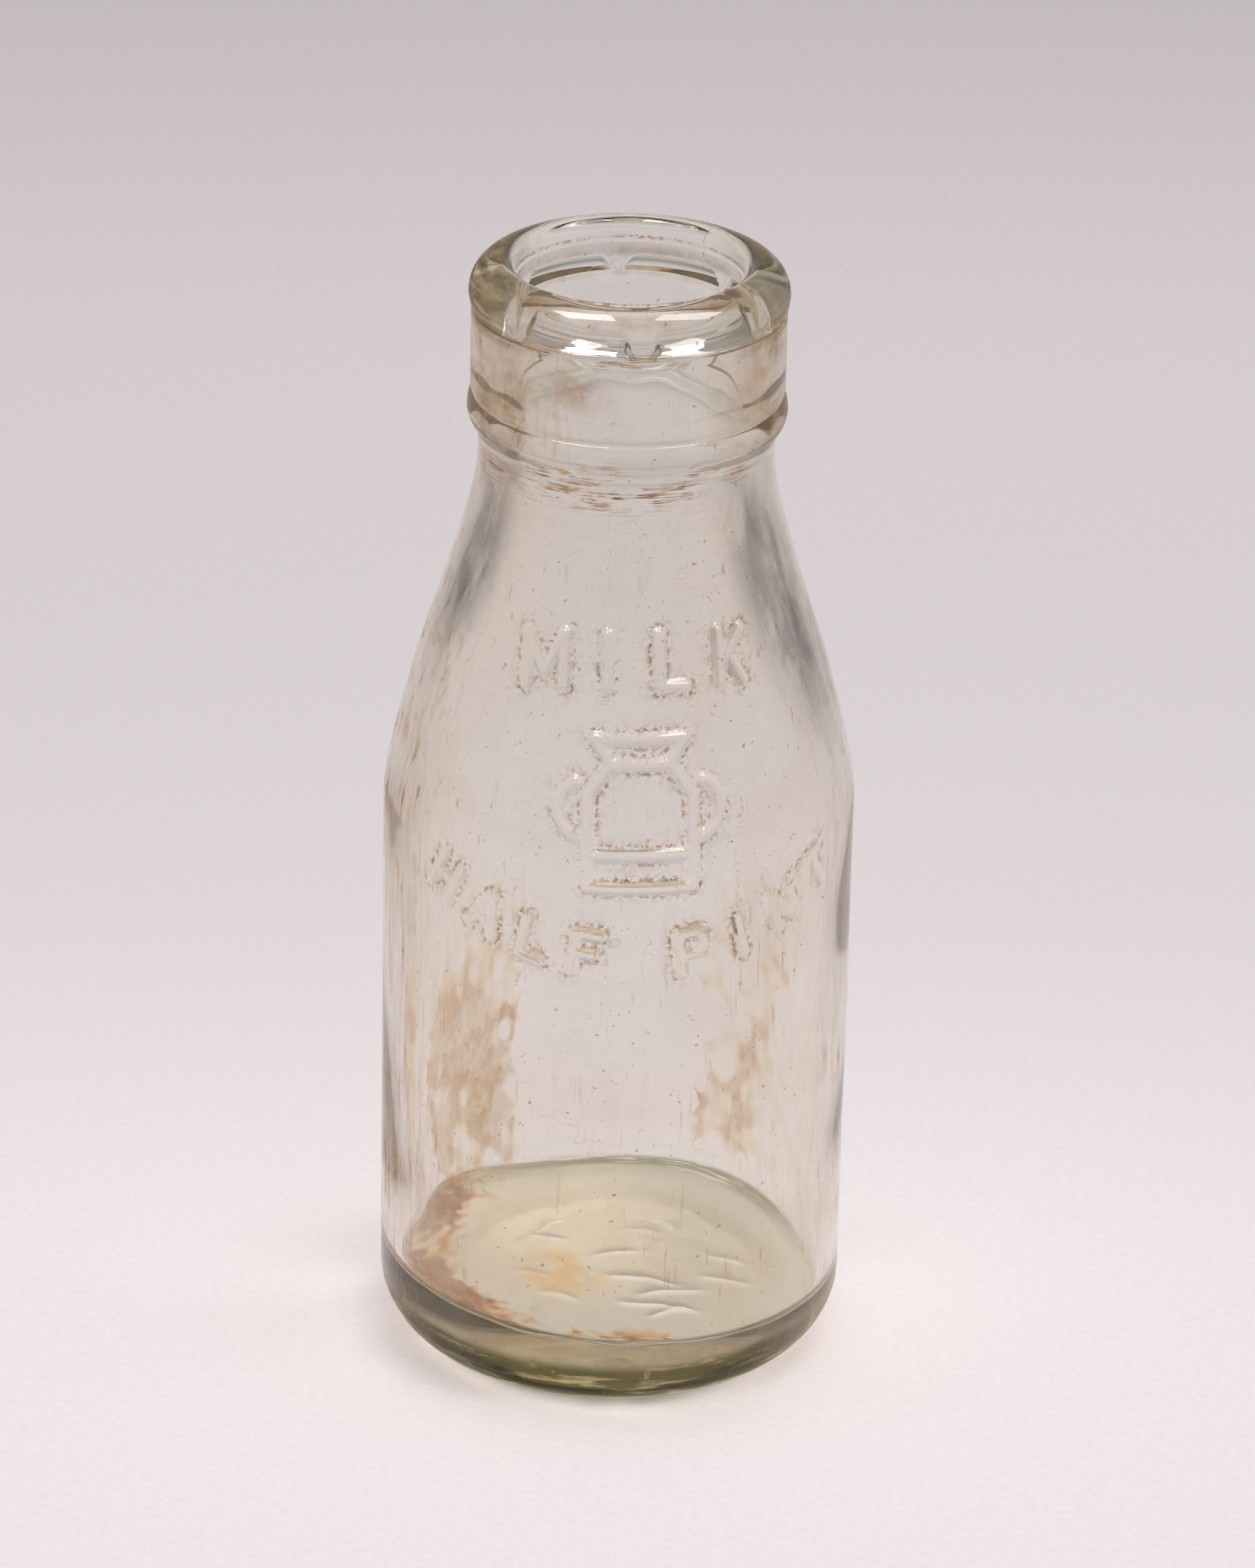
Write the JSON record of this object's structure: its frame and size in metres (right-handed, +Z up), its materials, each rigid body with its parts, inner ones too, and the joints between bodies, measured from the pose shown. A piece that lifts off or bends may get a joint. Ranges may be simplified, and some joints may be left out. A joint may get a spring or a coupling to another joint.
{
  "type": "glass milk bottle",
  "caption": "Half-pint milk bottle in thick clear glass with a bead under the neck, a raised front design and a grooved seat for a card disc.",
  "frame": {"origin": "centre of the circle that the bottle stands on", "axes": "+Z up along the bottle's axis; -Y is the front, with the raised design"},
  "size_m": [0.066, 0.0666, 0.163],
  "materials": {
    "clear_glass": "clear, faintly olive glass, scratched and dusty",
    "rust_crust": "dry rust-brown crust",
    "dried_film": "thin dried film"
  },
  "bodies": {
    "root": {"bottle": "clear_glass", "crust_left": "rust_crust", "crust_front": "rust_crust", "film_left": "dried_film", "film_right": "dried_film", "film_edge": "dried_film"}
  },
  "joints": []
}
